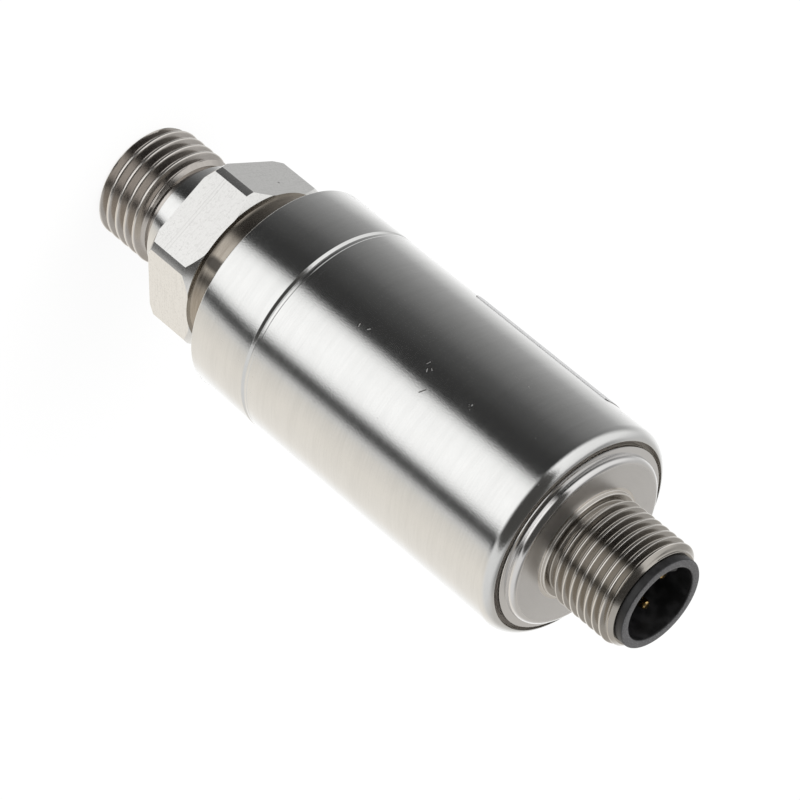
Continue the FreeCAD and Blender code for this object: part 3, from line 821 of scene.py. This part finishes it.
def arc(centre: Point, radius: float, start: float, end: float, steps: int) -> list[Point]:
    """Points of an arc in the (radius, height) plane.

    Args:
        centre: Its centre.
        radius: Its radius.
        start: First angle in degrees, 0 away from the axis and 90 up.
        end: Last angle in degrees.
        steps: How many segments it has.

    Returns:
        The points, both ends included.
    """
    angles = [math.radians(start + (end - start) * index / steps) for index in range(steps + 1)]
    return [(centre[0] + radius * math.cos(angle), centre[1] + radius * math.sin(angle))
            for angle in angles]


# Sub-assemblies


@dataclass
class ProcessConnection:
    """The turned process connection: threaded port, hexagon, neck, shoulder and spigot."""

    bore: float = 2.25
    thread: ScrewThread = ScrewThread(
        Form.WHITWORTH, 6.5785, 5.72, 1.337, 0.0, 6.85, 1.53, 9.7,
        ((0.0, 6.1285), (0.45, 6.5785), (6.1, 6.5785), (6.85, 5.85)))
    undercut: Point = (5.65, 7.9)
    collar: float = 6.45
    hex_face: float = 11.3
    hex_back: float = 17.4
    half_flats: float = 9.0
    half_corners: float = 10.135
    front_chamfer: float = 0.5
    rear_chamfer: float = 0.8
    neck: float = 8.7
    neck_fillet: float = 0.5
    edge: float = 0.15
    rim: float = 21.3
    body: float = BODY
    seam: float = 29.05
    seam_foot: float = 29.5
    seam_depth: float = 0.4
    bevel: float = 0.24
    spigot: float = 11.15
    spigot_top: float = 35.7
    seal_groove: Spot = (31.6, 33.6, 10.05)
    pocket: float = 9.1
    cell_floor: float = 24.3
    cell_recess: Point = (4.6, 23.9)

    def hexagon_column(self, angle: float) -> list[Point]:
        """The hexagon's outline at one clock angle.

        Args:
            angle: Clock angle in radians.

        Returns:
            Points from the front face's edge to the rear face's edge.
        """
        off = (math.degrees(angle) + 30) % 60 - 30
        flat = self.half_flats / math.cos(math.radians(off))
        wall = min(flat, self.half_corners)
        front = self.half_corners - self.front_chamfer
        rear = self.half_corners - self.rear_chamfer
        return [(self.collar, self.hex_face), (min(front, wall), self.hex_face),
                (wall, self.hex_face + max(0.0, wall - front)),
                (wall, self.hex_back - max(0.0, wall - rear)),
                (min(rear, wall), self.hex_back),
                (self.neck + self.neck_fillet, self.hex_back)]

    def corner_angles(self) -> list[float]:
        """Clock angles at which the hexagon's edges and chamfers start, in degrees."""
        edges = [math.degrees(math.acos(self.half_flats / radius)) for radius in (
            self.half_corners, self.half_corners - self.front_chamfer,
            self.half_corners - self.rear_chamfer)]
        return [60 * side + sign * edge for side in range(6) for edge in edges
                for sign in (-1, 1)]

    def build(self) -> bpy.types.Object:
        """Make the mesh with its true thread.

        Returns:
            The finished piece.
        """
        turning = Turning("process_connection_steel",
                          Turning.even(240, *self.corner_angles()))
        thread, edge = self.thread, self.edge
        recess, recess_floor = self.cell_recess
        turning.turned([(self.bore, recess_floor), (self.bore, edge), (self.bore + edge, 0.0),
                        (thread.envelope[0][1], 0.0)])
        turning.threaded(thread)
        undercut, collar_foot = self.undercut
        collar_face = (self.collar - edge, collar_foot)
        turning.turned([(thread.envelope[-1][1], thread.high)] + eased([
            (undercut, thread.high), (undercut, collar_foot), collar_face], 0.12))
        turning.turned(eased([collar_face, (self.collar, collar_foot),
                              (self.collar, self.hex_face)], 0.12), 2)
        turning.wall(self.hexagon_column, 1)
        fillet = self.neck_fillet
        turning.turned([
            (self.neck + fillet, self.hex_back), (self.neck + edge, self.hex_back + edge),
            (self.neck, self.hex_back + fillet), (self.neck, self.rim)], 3)
        seam_wall, seam_edge = self.body - self.seam_depth, self.body - self.bevel
        seam_floor = self.seam + 1.3 * self.bevel
        turning.turned([(self.neck, self.rim)] + eased([
            (self.neck + 0.1, self.rim), (self.body - edge, self.rim),
            (self.body, self.rim + edge), (self.body, self.seam),
            (seam_edge, self.seam + self.bevel), (seam_edge, seam_floor),
            (seam_wall, seam_floor), (seam_wall, self.seam_foot)], 0.05), 2)
        groove_low, groove_high, groove = self.seal_groove
        turning.turned([
            (seam_wall, self.seam_foot), (self.spigot, self.seam_foot),
            (self.spigot, groove_low), (groove, groove_low), (groove, groove_high),
            (self.spigot, groove_high), (self.spigot, self.spigot_top),
            (self.pocket, self.spigot_top), (self.pocket, self.cell_floor),
            (recess, self.cell_floor), (recess, recess_floor), (self.bore, recess_floor)])
        return turning.finish("process_connection", "turned_steel",
                              [Steel.PORT, Steel.HEXAGON, Steel.SHOULDER, Steel.NECK], 24.0)


@dataclass
class HousingSleeve:
    """The brushed housing tube with its mouth rolled in."""

    outer: float = BODY
    inner: float = 11.2
    foot: float = 29.5
    lip_top: float = 64.7
    lip_inner: float = 11.0
    lip_foot: float = 64.1
    lip_round: float = 1.4
    lip_edge: float = 0.12
    lip_land: float = 0.3
    foot_edge: float = 0.06
    line_rise: float = 0.36
    line_step: float = 0.03

    def build(self) -> bpy.types.Object:
        """Make the tube.

        Returns:
            The finished piece.
        """
        centre = self.outer - self.lip_round
        drop = math.sqrt(self.lip_round ** 2 - (self.lip_inner - centre) ** 2)
        end = math.degrees(math.atan2(drop, self.lip_inner - centre))
        mouth = arc((centre, self.lip_top - drop), self.lip_round, 0, end, 14)
        line = self.foot + self.line_rise
        start = line + 2 * self.line_step
        levels = [start + (mouth[0][1] - start) * index / 12 for index in range(12)]
        land = (self.lip_inner, mouth[-1][1] - self.lip_land)
        turning = Turning("housing_tube", Turning.even(256))
        turning.turned([
            (self.inner, self.lip_foot), (self.inner, self.foot),
            (self.outer - self.foot_edge, self.foot), (self.outer, self.foot + self.foot_edge),
            (self.outer, line), (self.outer - self.line_step, line + self.line_step),
            *[(self.outer, level) for level in levels], *mouth[:-1],
            *eased([mouth[-2], mouth[-1], land], self.lip_edge, 5)[1:]])
        turning.turned([land, (self.lip_inner, self.lip_foot), (self.inner, self.lip_foot)], 1)
        return turning.finish("housing_sleeve", "sleeve_steel", [Steel.HOUSING, Steel.GAP])


@dataclass
class ConnectorCap:
    """The end cap: flange under the lip, raised plate and threaded stub."""

    flange: float = 11.15
    flange_foot: float = 60.0
    flange_top: float = 64.1
    ledge: Point = (10.5, 64.9)
    plate: Point = (9.75, 65.85)
    plate_round: float = 0.65
    base_ring: Point = (6.1, 66.3)
    relief: Point = (5.3, 66.85)
    thread: ScrewThread = ScrewThread(
        Form.METRIC, 6.0, 5.385, 1.0, 66.85, 75.05, 67.61, 9.7,
        ((66.85, 5.45), (67.4, 6.0), (74.4, 6.0), (75.05, 5.35)))
    bore: float = 4.85
    counterbore: float = 8.5
    ceiling: float = 64.3
    edge: float = 0.3
    seal_groove: Spot = (61.05, 63.05, 10.05)

    def build(self) -> bpy.types.Object:
        """Make the cap with its true thread.

        Returns:
            The finished piece.
        """
        turning = Turning("connector_cap_steel", Turning.even(240))
        ledge, ledge_top = self.ledge
        plate, plate_top = self.plate
        shoulder = arc((plate - self.plate_round, plate_top - self.plate_round),
                       self.plate_round, 0, 90, 8)
        groove_low, groove_high, groove = self.seal_groove
        edge, foot = self.edge, self.flange_foot
        turning.turned([
            (self.bore, self.thread.high), (self.bore, self.ceiling),
            (self.counterbore, self.ceiling), (self.counterbore, foot),
            (self.flange - edge, foot), (self.flange, foot + edge),
            (self.flange, groove_low), (groove, groove_low),
            (groove, groove_high), (self.flange, groove_high)])
        turning.turned([(self.flange, groove_high), (self.flange, self.flange_top),
                        (ledge, self.flange_top), (ledge, ledge_top - edge)], 2)
        turning.turned([(ledge, ledge_top - edge)] + eased([
            (ledge, ledge_top - 0.29), (ledge, ledge_top), (plate, ledge_top),
            (plate, shoulder[0][1])], 0.1) + shoulder[1:])
        base, base_top = self.base_ring
        relief, thread_foot = self.relief
        plate_end = (base + 0.35, plate_top)
        turning.turned([shoulder[-1], plate_end], 3)
        turning.turned([plate_end] + eased([
            (base + 0.3, plate_top), (base, plate_top), (base, base_top), (relief, base_top),
            (relief, thread_foot), (self.thread.envelope[0][1], thread_foot)], 0.18, 4), 1)
        turning.threaded(self.thread, 1)
        turning.turned([(self.thread.envelope[-1][1], self.thread.high),
                        (self.bore, self.thread.high)], 1)
        return turning.finish("connector_cap", "cap_steel",
                              [Steel.CAP, Steel.STUB, Steel.GAP, Steel.PLATE])


@dataclass
class ConnectorInsert:
    """The black moulded insert with its socket and coding key."""

    collar: float = 5.15
    mouth: float = 75.99
    collar_foot: float = 75.05
    liner: float = 4.8
    socket: float = 4.2
    floor: float = 66.79
    foot: float = 60.6
    chamfer: float = 0.12
    key_clock: float = 205.0
    key_width: float = 1.5
    key_reach: float = 0.95
    key_recess: float = 0.7

    def build(self) -> bpy.types.Object:
        """Make the insert.

        Returns:
            The finished piece.
        """
        turning = Turning("connector_insert_moulding", Turning.even(160))
        turning.turned([(0.0, self.foot), (self.liner, self.foot),
                        (self.liner, self.collar_foot)])
        turning.turned([(self.liner, self.collar_foot)] + eased([
            (self.collar - 0.05, self.collar_foot), (self.collar, self.collar_foot + 0.05),
            (self.collar, self.mouth - self.chamfer), (self.collar - self.chamfer, self.mouth),
            (self.socket + self.chamfer, self.mouth),
            (self.socket, self.mouth - self.chamfer),
            (self.socket, self.mouth - 0.6)], 0.06) + [
            (self.socket, self.floor), (0.0, self.floor)])
        turning.loft(self.key_rings())
        return turning.finish("connector_insert", "black_polyamide", [Mould.INSERT], 40.0)

    def key_rings(self) -> list[list[Spot]]:
        """Work out the coding rib inside the socket.

        Returns:
            Its rings of points in millimetres, from the socket's floor up.
        """
        half, inner, outer = self.key_width / 2, self.socket - self.key_reach, self.socket + 0.1
        top, ease = self.mouth - self.key_recess, self.chamfer
        ring = [(outer, -half), (inner + ease, -half), (inner, -half + ease),
                (inner, half - ease), (inner + ease, half), (outer, half)]
        turn = math.radians(self.key_clock)
        rings = []
        for height, shrink in ((self.floor, 0.0), (top - ease, 0.0), (top, ease)):
            rings.append([])
            for along, across in ring:
                along = max(along, inner + shrink)
                across = math.copysign(min(abs(across), half - shrink), across)
                rings[-1].append((along * math.cos(turn) - across * math.sin(turn),
                                  along * math.sin(turn) + across * math.cos(turn), height))
        return rings


@dataclass
class ContactSet:
    """The gold-plated contact pins."""

    count: int = 4
    circle: float = 2.5
    clock: float = 205.0
    radius: float = 0.5
    tail: float = 0.4
    foot: float = 58.9
    shoulder: float = 60.6
    tip: float = 73.85
    tip_round: float = 0.25

    def build(self) -> list[bpy.types.Object]:
        """Make the pins.

        Returns:
            The finished pieces.
        """
        pins = []
        for number in range(1, self.count + 1):
            turning = Turning(f"contact_{number}", Turning.even(40))
            turning.turned([
                (0.0, self.foot), (self.tail, self.foot), (self.tail, self.shoulder),
                (self.radius, self.shoulder),
                *arc((self.radius - self.tip_round, self.tip - self.tip_round),
                     self.tip_round, 0, 90, 6),
                (0.0, self.tip)])
            angle = math.radians(self.clock + 360 * (number - 0.5) / self.count)
            shift = Vector((self.circle * math.cos(angle), self.circle * math.sin(angle), 0))
            bmesh.ops.translate(turning.mesh, verts=turning.mesh.verts, vec=shift * MM)
            pins.append(turning.finish(f"contact_pin_{number}", "gold_plating",
                                       [Steel.CONTACT], 40.0))
        return pins


@dataclass
class RatingLabel:
    """The blank name plate: a thin film with rounded corners, bonded round the tube."""

    wall: float = BODY
    glue: float = 0.002
    thickness: float = 0.08
    bend: float = 0.02
    low: float = 40.25
    length: float = 18.7
    width: float = 30.0
    middle: float = 122.0
    corner: float = 0.4
    columns: int = 120

    def build(self) -> bpy.types.Object:
        """Make the film.

        Returns:
            The finished piece.
        """
        turning = Turning("name_plate_film", [])
        spread = [0.0, 0.05, 0.15, 0.3, 0.5, 0.75, 1.0]
        inner = [self.corner + (self.width - 2 * self.corner) * index / self.columns
                 for index in range(1, self.columns)]
        places = ([self.corner * share for share in spread] + inner
                  + [self.width - self.corner * share for share in reversed(spread)])
        foot, top, bend = self.wall + self.glue, self.wall + self.thickness, self.bend
        rings = []
        for along in places:
            inset = max(self.corner - min(along, self.width - along), 0.0)
            cut = self.corner - math.sqrt(max(self.corner ** 2 - inset ** 2, 0.0))
            low, high = self.low + cut, self.low + self.length - cut
            angle = math.radians(self.middle) + (along - self.width / 2) / self.wall
            rings.append([(radius * math.cos(angle), radius * math.sin(angle), height)
                          for radius, height in (
                              (foot, low), (top - bend, low), (top, low + bend),
                              (top, high - bend), (top - bend, high), (foot, high))])
        turning.loft(rings)
        return turning.finish("rating_label", "label_film", [Steel.FILM], 30.0)


@dataclass
class Inside:
    """Pieces that the housing hides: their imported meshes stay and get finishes."""

    finishes: dict[Choice, tuple[str, ...]] = field(default_factory=lambda: {
        Mould.CERAMIC: ("ceramic_sensor_cell",),
        Mould.SEAL: ("cell_seal_ring", "sleeve_seal_ring", "cap_seal_ring", "insert_seal_ring"),
        Steel.PORT: ("cell_retaining_ring",),
        Steel.CLIP: ("insert_clip",),
        Mould.LAMINATE: ("connector_board", "main_circuit_board"),
        Mould.HOLDER: ("board_holder",),
        Mould.FLEX: ("sensor_flex_strip",),
        Mould.CHIP: ("signal_chip", "output_chip", "surge_suppressor", "chip_resistors"),
        Mould.TANTALUM: ("tantalum_capacitor",),
        Mould.CHIP_CERAMIC: ("ceramic_capacitors",),
    })

    def dress(self, nodes: dict[str, bpy.types.Object]) -> None:
        """Give each hidden piece its finish.

        Args:
            nodes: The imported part's nodes by name.
        """
        for choice, names in self.finishes.items():
            for name in names:
                for slot in nodes[name].material_slots:
                    slot.material = choice.material()
                LOG.info("%s: %s", name, choice.value.name)


# Studio


@dataclass(frozen=True)
class Panel:
    """One stop in a ring of panels and flags.

    Attributes:
        azimuth: Where it stands in degrees, 0 towards -Y and rising towards +X.
        brightness: How bright it is there.
        warmth: Share of blue that its light lacks.
    """

    azimuth: float
    brightness: float
    warmth: float = 0.0

    def light(self) -> Colour:
        """The panel's colour over the studio's ceiling value."""
        share = self.brightness / Studio.ceiling
        return share, share * (1.0 - self.warmth * 0.4), share * (1.0 - self.warmth)


@dataclass(frozen=True)
class Tier:
    """One ring of panels and flags round the part.

    Attributes:
        panels: Its panels by rising azimuth; the light changes evenly from one to the next.
    """

    panels: tuple[Panel, ...]

    def colour(self, recipe: Recipe, azimuth: Signal) -> Socket:
        """The tier's light by azimuth in degrees, over the studio's ceiling value."""
        stops = [((panel.azimuth + 180) / 360, panel.light()) for panel in self.panels]
        return recipe.node("ValToRGB", {"stops": stops},
                           {0: azimuth / 360 + 0.5}).outputs[0]


@dataclass
class Studio:
    """Light tent, floor, lamp and camera."""

    ceiling: ClassVar[float] = 2.0
    low: Tier = Tier((
        Panel(-180, 1.36), Panel(-164, 1.15), Panel(-148, 1.06), Panel(-132, 0.80),
        Panel(-116, 0.47), Panel(-92, 0.30), Panel(-75, 0.21), Panel(-59, 0.11),
        Panel(-35, 0.05), Panel(-16, 0.045), Panel(-8, 1.0), Panel(0, 1.34), Panel(20, 1.42),
        Panel(36, 1.36), Panel(43, 1.0), Panel(50, 0.08), Panel(58, 0.06), Panel(66, 0.8),
        Panel(74, 0.93, 0.1), Panel(95, 1.05, 0.12), Panel(135, 1.08, 0.1),
        Panel(160, 1.22), Panel(180, 1.36)))
    high: Tier = Tier((
        Panel(-180, 0.68, 0.08), Panel(-140, 0.68), Panel(-115, 1.05), Panel(-75, 1.1),
        Panel(-50, 1.22), Panel(-20, 1.22), Panel(0, 0.9), Panel(45, 0.9), Panel(80, 0.95),
        Panel(120, 0.9), Panel(150, 0.68, 0.08), Panel(180, 0.68, 0.08)))
    crown: Tier = Tier((
        Panel(-180, 0.3, 0.1), Panel(-150, 0.38), Panel(-125, 0.4), Panel(-110, 1.0),
        Panel(-50, 1.2), Panel(0, 1.0), Panel(80, 0.92), Panel(110, 0.9), Panel(128, 0.65),
        Panel(140, 0.4), Panel(180, 0.3, 0.1)))
    canopy: tuple[Spot, Spot] = (
        (-0.645, -0.657, 0.381), (0.904, -0.373, 0.208))
    shade: Colour = (0.04, 0.0388, 0.0372)
    bottom: Colour = (0.2, 0.186, 0.172)
    fill: Colour = (0.42, 0.42, 0.42)
    backdrop: Colour = (0.5, 0.5, 0.5)
    lamp_place: Spot = (-0.25, -0.2, 0.62)
    lamp_size: float = 0.5
    lamp_power: float = 2.2
    lamp_colour: Colour = (1.0, 0.985, 0.96)
    floor_radius: float = 3.0
    floor_paint: float = 0.86
    floor_glow: float = 1.03
    azimuth: float = 2.2
    elevation: float = 29.79
    roll: float = 129.63
    distance: float = 432.117
    lens: float = 197.84
    aim: Spot = (0.865, -0.535, 40.259)

    def under_canopy(self, x: Signal, y: Signal, z: Signal) -> Signal:
        """1 for directions under the dark canopy and 0 beyond its straight edges."""
        inside = [(x * along + y * across + z * up).step(-0.06, 0.06)
                  for along, across, up in self.canopy]
        return inside[0] * inside[1]

    def light(self) -> None:
        """Build the world: a tent for reflections, even light for the rest, white behind."""
        world = bpy.data.worlds.new("studio")
        bpy.context.scene.world = world
        world.use_nodes = True
        recipe = Recipe(world.node_tree)
        direction = recipe.node("TexCoord").outputs["Generated"]
        parts = recipe.node("SeparateXYZ", None, {0: direction})
        x, y, z = (recipe.signal(socket) for socket in parts.outputs)
        azimuth = x.maths("ARCTAN2", y * -1.0) / DEGREE
        elevation = z.maths("ARCSINE") / DEGREE
        over = recipe.blend(elevation.step(34.0, 50.0), self.high.colour(recipe, azimuth),
                            self.crown.colour(recipe, azimuth))
        over = recipe.blend(self.under_canopy(x, y, z), over, self.shade)
        tent = recipe.blend(elevation.step(-8.0, 18.0), self.low.colour(recipe, azimuth), over)
        tent = recipe.blend(elevation.step(-58.0, -74.0), tent, self.bottom)
        rays = recipe.node("LightPath").outputs
        colour = recipe.blend(recipe.signal(rays["Is Glossy Ray"]), self.fill, tent)
        colour = recipe.blend(recipe.signal(rays["Is Camera Ray"]), colour, self.backdrop)
        back = recipe.node("Background", None,
                           {"Color": colour, "Strength": self.ceiling})
        recipe.node("OutputWorld", None, {"Surface": back.outputs[0]})
        world.cycles.sampling_method = "NONE"

    def lamp(self) -> None:
        """Hang the soft box over the part; mirrors don't see it."""
        lamp = bpy.data.lights.new("overhead_soft_box", "AREA")
        lamp.shape = "DISK"
        lamp.size = self.lamp_size
        lamp.energy = self.lamp_power
        lamp.color = self.lamp_colour
        box = placed("overhead_soft_box", lamp)
        box.location = self.lamp_place
        box.rotation_euler = (-box.location).to_track_quat("-Z", "Y").to_euler()
        box.visible_glossy = False

    def floor(self) -> None:
        """Lay the pale floor, plain white behind the part, with the part's soft shadow."""
        mesh = bmesh.new()
        bmesh.ops.create_circle(mesh, cap_ends=True, segments=96,
                                radius=self.floor_radius)
        data = bpy.data.meshes.new("floor")
        mesh.to_mesh(data)
        mesh.free()
        material = bpy.data.materials.new("floor_white")
        material.use_nodes = True
        recipe = Recipe(material.node_tree)
        paint = recipe.node("BsdfDiffuse", None,
                            {"Color": (*[self.floor_paint] * 3, 1.0)})
        glow = recipe.node("Emission", None,
                           {"Color": (1.0, 1.0, 1.0, 1.0), "Strength": self.floor_glow})
        camera = recipe.signal(
            recipe.node("LightPath").outputs["Is Camera Ray"])
        mixed = recipe.node("MixShader", None, {
            0: camera * self.floor_paint, 1: paint.outputs[0], 2: glow.outputs[0]})
        recipe.node("OutputMaterial", None, {"Surface": mixed.outputs[0]})
        data.materials.append(material)
        floor = placed("floor", data)
        floor.location = (0.0, 0.0, -0.00002)
        floor.visible_glossy = False

    def camera(self) -> None:
        """Set up the camera."""
        around, up = math.radians(self.azimuth), math.radians(self.elevation)
        forward = Vector((-math.sin(around) * math.cos(up), math.cos(around) * math.cos(up),
                          -math.sin(up)))
        side = forward.cross(Vector((0, 0, 1))).normalized()
        upward = side.cross(forward)
        turn = Matrix((side, upward, -forward)).transposed().to_4x4()
        lens = bpy.data.cameras.new("camera")
        lens.lens = self.lens
        lens.sensor_width = 36.0
        lens.clip_start = 0.01
        camera = placed("camera", lens)
        place = Vector(self.aim) * MM - forward * self.distance * MM
        camera.matrix_world = (Matrix.Translation(place) @ turn
                               @ Matrix.Rotation(math.radians(self.roll), 4, "Z"))
        bpy.context.scene.camera = camera

    def build(self) -> None:
        """Set up the whole studio."""
        self.light()
        self.lamp()
        self.floor()
        self.camera()
        bpy.context.scene.view_settings.view_transform = "Standard"


def main() -> None:
    """Dress the part and set up the studio."""
    logging.basicConfig(level=logging.INFO, format="%(message)s")
    ProcessConnection().build()
    HousingSleeve().build()
    ConnectorCap().build()
    ConnectorInsert().build()
    ContactSet().build()
    RatingLabel().build()
    Inside().dress(frame["nodes"])
    Studio().build()


if __name__ == "__main__":
    main()
